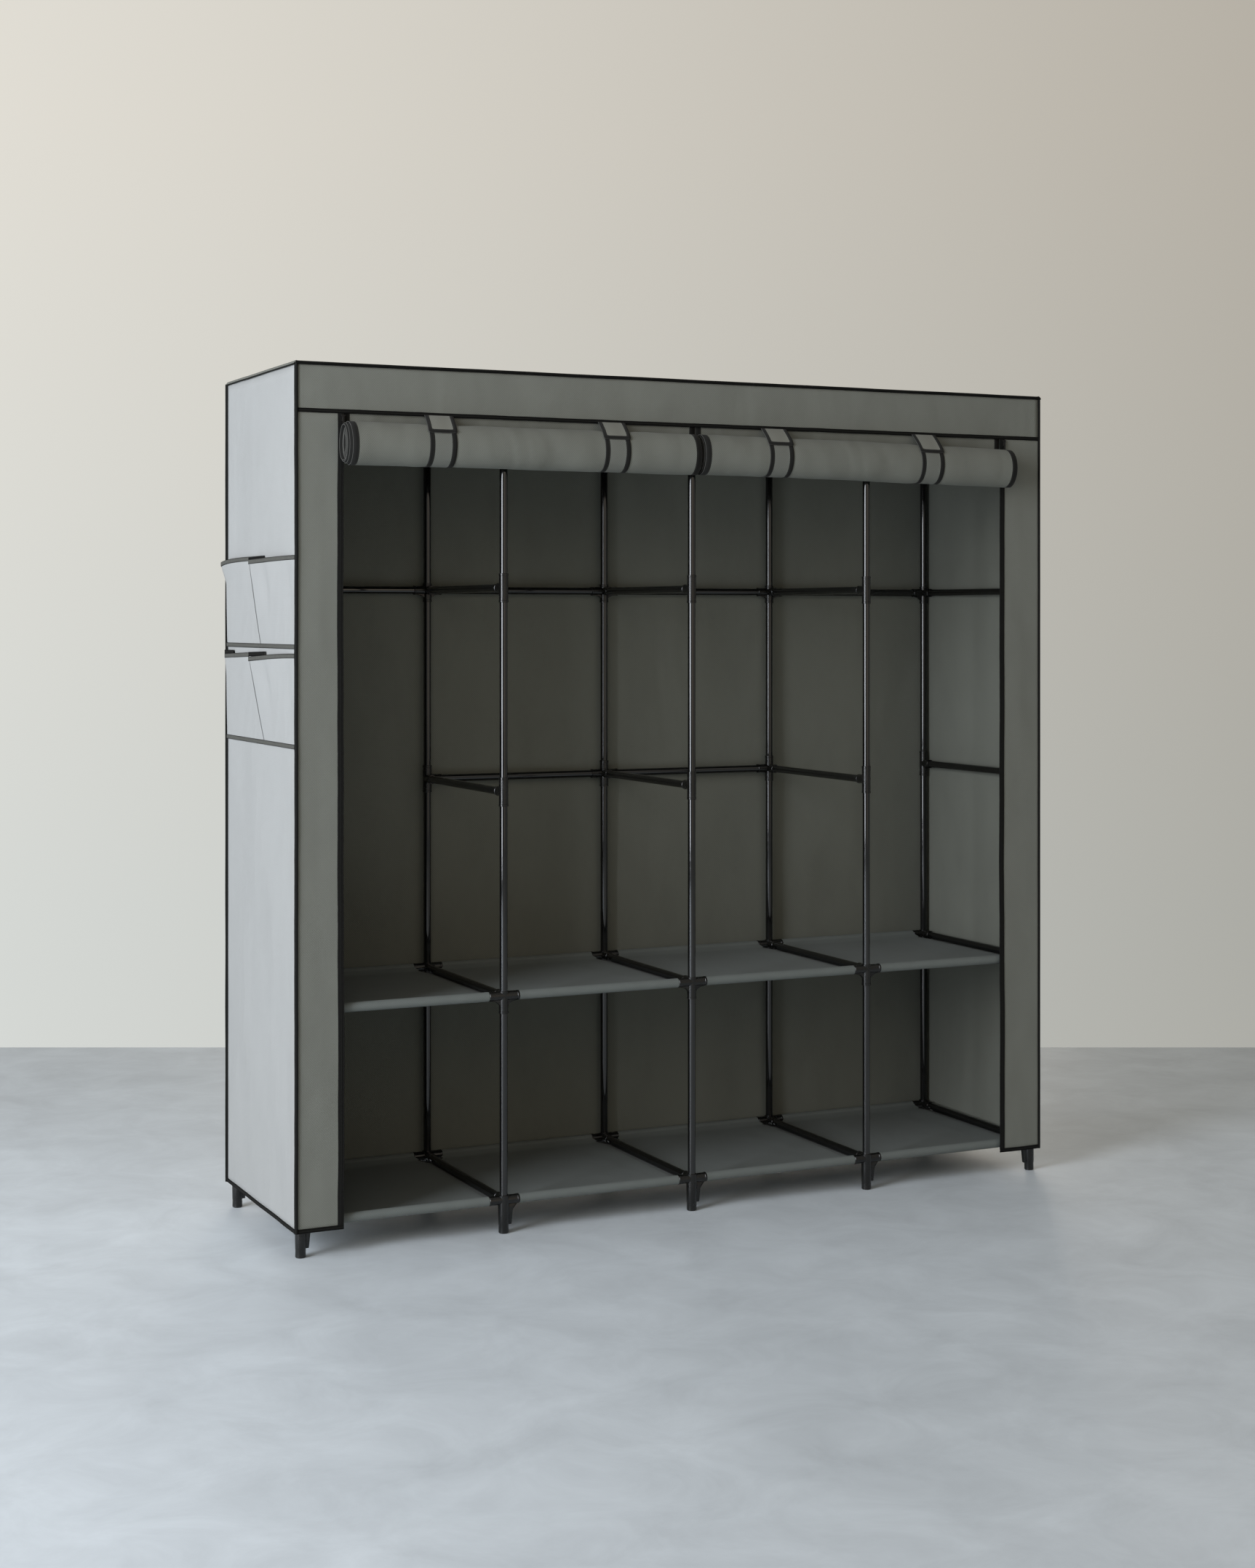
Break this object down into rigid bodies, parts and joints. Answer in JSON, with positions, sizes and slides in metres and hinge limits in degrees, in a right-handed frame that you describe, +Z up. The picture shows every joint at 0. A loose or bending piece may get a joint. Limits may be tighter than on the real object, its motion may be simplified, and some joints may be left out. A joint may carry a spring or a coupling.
{
  "type": "portable fabric wardrobe",
  "caption": "Wide portable wardrobe: a tube frame with cloth shelves in a sewn cloth cover, its front doors rolled up and strapped under the header, with side pockets.",
  "frame": {"origin": "middle of the whole object's outline on the floor that its feet stand on", "axes": "+X to the right seen from the front, along the width; +Y towards the back; +Z up"},
  "size_m": [1.7332, 0.528, 1.7115],
  "materials": {
    "tube_paint": "gloss black paint on steel tube",
    "black_plastic": "satin black moulded plastic",
    "cover_cloth": "grey non-woven cloth with near-black binding",
    "shelf_cloth": "grey non-woven cloth of the shelves",
    "strap_cloth": "grey cloth strap with near-black binding",
    "zip_metal": "black enamelled zip slider"
  },
  "bodies": {
    "wardrobe": {"front_post_1": "tube_paint", "back_post_1": "tube_paint", "foot_crossbar_1": "black_plastic", "shelf_crossbar_1": "black_plastic", "lower_crossbar_1": "black_plastic", "upper_crossbar_1": "black_plastic", "front_post_2": "tube_paint", "back_post_2": "tube_paint", "foot_crossbar_2": "black_plastic", "shelf_crossbar_2": "black_plastic", "lower_crossbar_2": "black_plastic", "upper_crossbar_2": "black_plastic", "front_post_3": "tube_paint", "back_post_3": "tube_paint", "foot_crossbar_3": "black_plastic", "shelf_crossbar_3": "black_plastic", "lower_crossbar_3": "black_plastic", "upper_crossbar_3": "black_plastic", "front_post_4": "tube_paint", "back_post_4": "tube_paint", "foot_crossbar_4": "black_plastic", "shelf_crossbar_4": "black_plastic", "lower_crossbar_4": "black_plastic", "upper_crossbar_4": "black_plastic", "front_post_5": "tube_paint", "back_post_5": "tube_paint", "foot_crossbar_5": "black_plastic", "shelf_crossbar_5": "black_plastic", "lower_crossbar_5": "black_plastic", "upper_crossbar_5": "black_plastic", "lower_back_rail_2": "tube_paint", "lower_back_rail_3": "tube_paint", "upper_back_rail_1": "tube_paint", "bottom_shelf_1": "shelf_cloth", "middle_shelf_1": "shelf_cloth", "upper_back_rail_2": "tube_paint", "bottom_shelf_2": "shelf_cloth", "middle_shelf_2": "shelf_cloth", "upper_back_rail_3": "tube_paint", "bottom_shelf_3": "shelf_cloth", "middle_shelf_3": "shelf_cloth", "upper_back_rail_4": "tube_paint", "bottom_shelf_4": "shelf_cloth", "middle_shelf_4": "shelf_cloth", "top_frame": "black_plastic", "cover_roof": "cover_cloth", "cover_back": "cover_cloth", "cover_left_side": "cover_cloth", "cover_right_side": "cover_cloth", "cover_front": "cover_cloth", "rolled_door_left": "cover_cloth", "rolled_door_right": "cover_cloth", "pocket_row_upper": "cover_cloth", "pocket_row_lower": "cover_cloth"},
    "strap_1": {"strap_tab_1": "strap_cloth"},
    "strap_2": {"strap_tab_2": "strap_cloth"},
    "strap_3": {"strap_tab_3": "strap_cloth"},
    "strap_4": {"strap_tab_4": "strap_cloth"},
    "slider_left": {"zip_slider_left": "zip_metal"},
    "slider_right": {"zip_slider_right": "zip_metal"}
  },
  "joints": [
    {"name": "strap_1_hinge", "type": "hinge", "parent": "wardrobe", "child": "strap_1", "pos_m": [-0.5721, -0.20476, 1.621], "axis": [-1, 0, 0], "range_deg": [0, 120]},
    {"name": "strap_2_hinge", "type": "hinge", "parent": "wardrobe", "child": "strap_2", "pos_m": [-0.20115, -0.20476, 1.621], "axis": [-1, 0, 0], "range_deg": [0, 120]},
    {"name": "strap_3_hinge", "type": "hinge", "parent": "wardrobe", "child": "strap_3", "pos_m": [0.17132, -0.20476, 1.621], "axis": [-1, 0, 0], "range_deg": [0, 120]},
    {"name": "strap_4_hinge", "type": "hinge", "parent": "wardrobe", "child": "strap_4", "pos_m": [0.53849, -0.20476, 1.621], "axis": [-1, 0, 0], "range_deg": [0, 120]},
    {"name": "slider_left_slide", "type": "slide", "parent": "wardrobe", "child": "slider_left", "axis": [0, 0, -1], "range_m": [0, 1.537]},
    {"name": "slider_right_slide", "type": "slide", "parent": "wardrobe", "child": "slider_right", "axis": [0, 0, -1], "range_m": [0, 1.537]}
  ]
}
